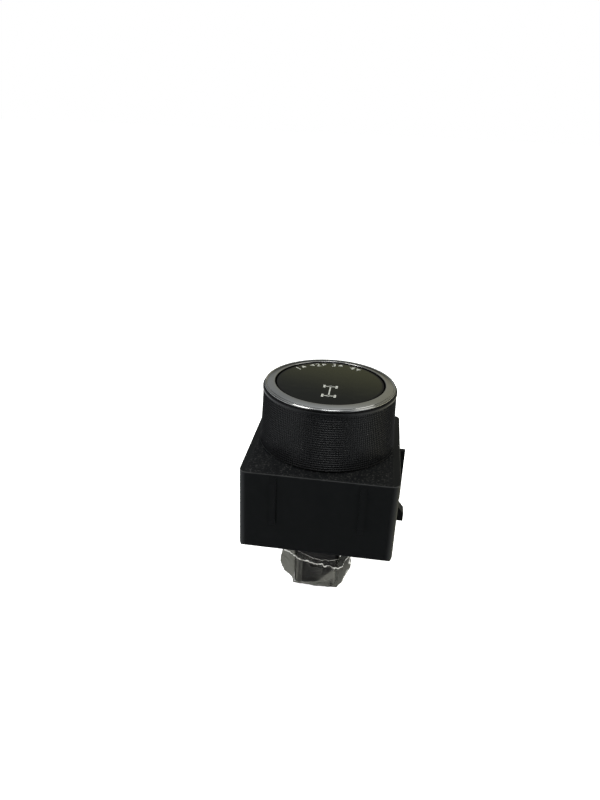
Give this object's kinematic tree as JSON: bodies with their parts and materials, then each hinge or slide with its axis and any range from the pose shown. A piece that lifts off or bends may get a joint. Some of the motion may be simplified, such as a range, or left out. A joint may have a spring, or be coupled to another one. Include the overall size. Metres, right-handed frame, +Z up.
{
  "type": "rotary mode switch",
  "caption": "Square dashboard switch whose knurled ring knob with a bright bezel turns through detents round a fixed display face, with a plug socket underneath.",
  "frame": {"origin": "centre of the overall bounding box, at the level of the plug socket's foot, on which the switch stands", "axes": "+Z up through the knob, away from the socket; -Y towards the front wall, the side nearest the driver; +X to the right"},
  "size_m": [0.0656, 0.0598, 0.0853],
  "materials": {
    "housing_black": "black moulded plastic, fine grained on the top plate and semi-gloss on the walls",
    "cover_black": "black moulded plastic, satin",
    "glide_white": "natural low-friction plastic, satin",
    "grip_black": "black soft-touch plastic with a fine square knurl",
    "chrome": "bright chrome plating on plastic",
    "carrier_black": "dark moulded plastic, satin",
    "gear_natural": "natural acetal, satin",
    "tube_black": "dark moulded plastic, matt",
    "lens_smoke": "smoked clear plastic with a dark back, glossy",
    "diffuser_white": "milky light-spreading film",
    "light_box_white": "white reflective plastic, matt",
    "board_green": "green solder mask, satin",
    "led_white": "white package with a pale yellow cap",
    "flex_amber": "amber flexible circuit, satin",
    "socket_cream": "cream plastic, matt",
    "chip_black": "black moulded package, matt",
    "can_silver": "bright aluminium can",
    "magnet_grey": "dull dark magnet",
    "steel": "bright steel",
    "connector_black": "dark glass-filled plastic, satin",
    "pin_tin": "tin plated brass",
    "clear_film": "thin clear packing film, wrinkled and shiny"
  },
  "bodies": {
    "body": {"front_housing": "housing_black", "base_cover": "cover_black", "glide_ring": "glide_white", "display_tube": "tube_black", "face_lens": "lens_smoke", "diffuser_disc": "diffuser_white", "light_box": "light_box_white", "display_board": "board_green", "display_leds": "led_white", "flex_tail": "flex_amber", "flex_sockets": "socket_cream", "main_board": "board_green", "control_chip": "chip_black", "capacitors": "can_silver", "resistors": "chip_black", "rotation_sensor": "chip_black", "sensor_holder": "gear_natural", "pinion_axle": "steel", "detent_springs": "steel", "connector_shroud": "connector_black", "terminal_pins": "pin_tin", "housing_screws": "steel", "tube_screws": "steel", "connector_film": "clear_film"},
    "knob": {"grip_ring": "grip_black", "bezel_ring": "chrome", "knob_carrier": "carrier_black", "gear_ring": "gear_natural"},
    "pinion": {"encoder_pinion": "gear_natural", "sensor_magnet": "magnet_grey"}
  },
  "joints": [
    {"name": "knob_turn", "type": "hinge", "parent": "body", "child": "knob", "pos_m": [0, 0.002, 0.0603], "axis": [0, 0, 1], "range_deg": [-75, 0], "deforming": ["detent_springs"]},
    {"name": "pinion_turn", "type": "hinge", "parent": "body", "child": "pinion", "pos_m": [0.01851, -0.02006, 0.055], "axis": [0, 0, 1], "range_deg": [-5, 380]}
  ],
  "couplings": [
    {"joint": "pinion_turn", "follows": "knob_turn", "ratio": -5}
  ]
}
